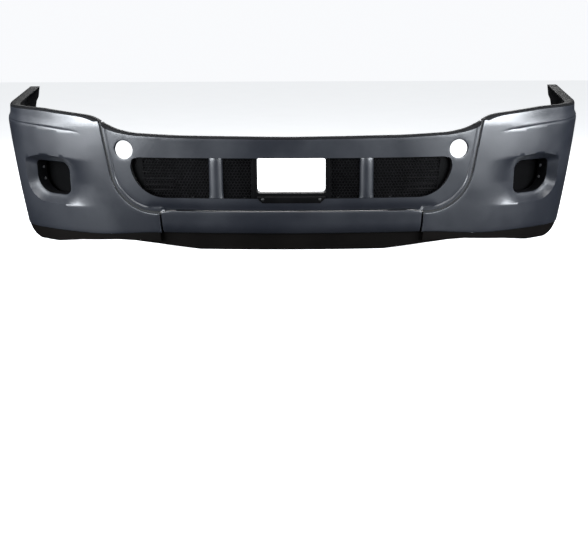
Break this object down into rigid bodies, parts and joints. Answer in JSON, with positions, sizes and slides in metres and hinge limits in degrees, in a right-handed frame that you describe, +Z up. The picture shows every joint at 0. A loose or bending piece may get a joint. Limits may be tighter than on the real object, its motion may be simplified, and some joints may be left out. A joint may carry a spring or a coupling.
{
  "type": "bumper cover",
  "caption": "Wide wrap-around front bumper cover of a highway tractor, with grille opening, tow holes, fog lamp openings, valences and steel backing frame.",
  "frame": {"origin": "middle of the plane the part stands on, at the centre of its box in plan", "axes": "+X to the right as seen from the front and along the longest side, -Y to the front, +Z up"},
  "size_m": [2.4736, 0.8796, 0.619],
  "materials": {
    "moulded_cover": "satin dark blue-grey moulded plastic with a fine grain",
    "black_valence": "matt black-brown flexible plastic",
    "grille_black": "black moulded plastic, low sheen",
    "pocket_black": "deep black moulded plastic",
    "seam_rubber": "black rubber",
    "clip_plastic": "black nylon",
    "frame_steel": "black e-coated steel, satin",
    "zinc_fastener": "zinc plated steel, dull",
    "black_fastener": "black coated steel screws"
  },
  "bodies": {
    "root": {"centre_cover": "moulded_cover", "left_end_cover": "moulded_cover", "right_end_cover": "moulded_cover", "lower_centre_panel": "moulded_cover", "left_grille_mesh": "grille_black", "right_grille_mesh": "grille_black", "centre_bezel": "grille_black", "left_end_valence": "black_valence", "right_end_valence": "black_valence", "centre_air_dam": "black_valence", "left_seam_strip": "seam_rubber", "right_seam_strip": "seam_rubber", "upper_rail": "frame_steel", "lower_beam": "frame_steel", "left_frame_bracket": "frame_steel", "right_frame_bracket": "frame_steel", "left_end_brace": "frame_steel", "right_end_brace": "frame_steel", "left_wing_bracket": "frame_steel", "right_wing_bracket": "frame_steel", "left_fog_pocket": "pocket_black", "right_fog_pocket": "pocket_black", "seam_bolts": "zinc_fastener", "cover_clips": "clip_plastic", "beam_bolts": "zinc_fastener", "brace_bolts": "zinc_fastener", "valence_screws": "zinc_fastener", "air_dam_clips": "clip_plastic", "mesh_screws": "black_fastener", "pocket_screws": "black_fastener", "panel_clips": "clip_plastic"}
  },
  "joints": []
}
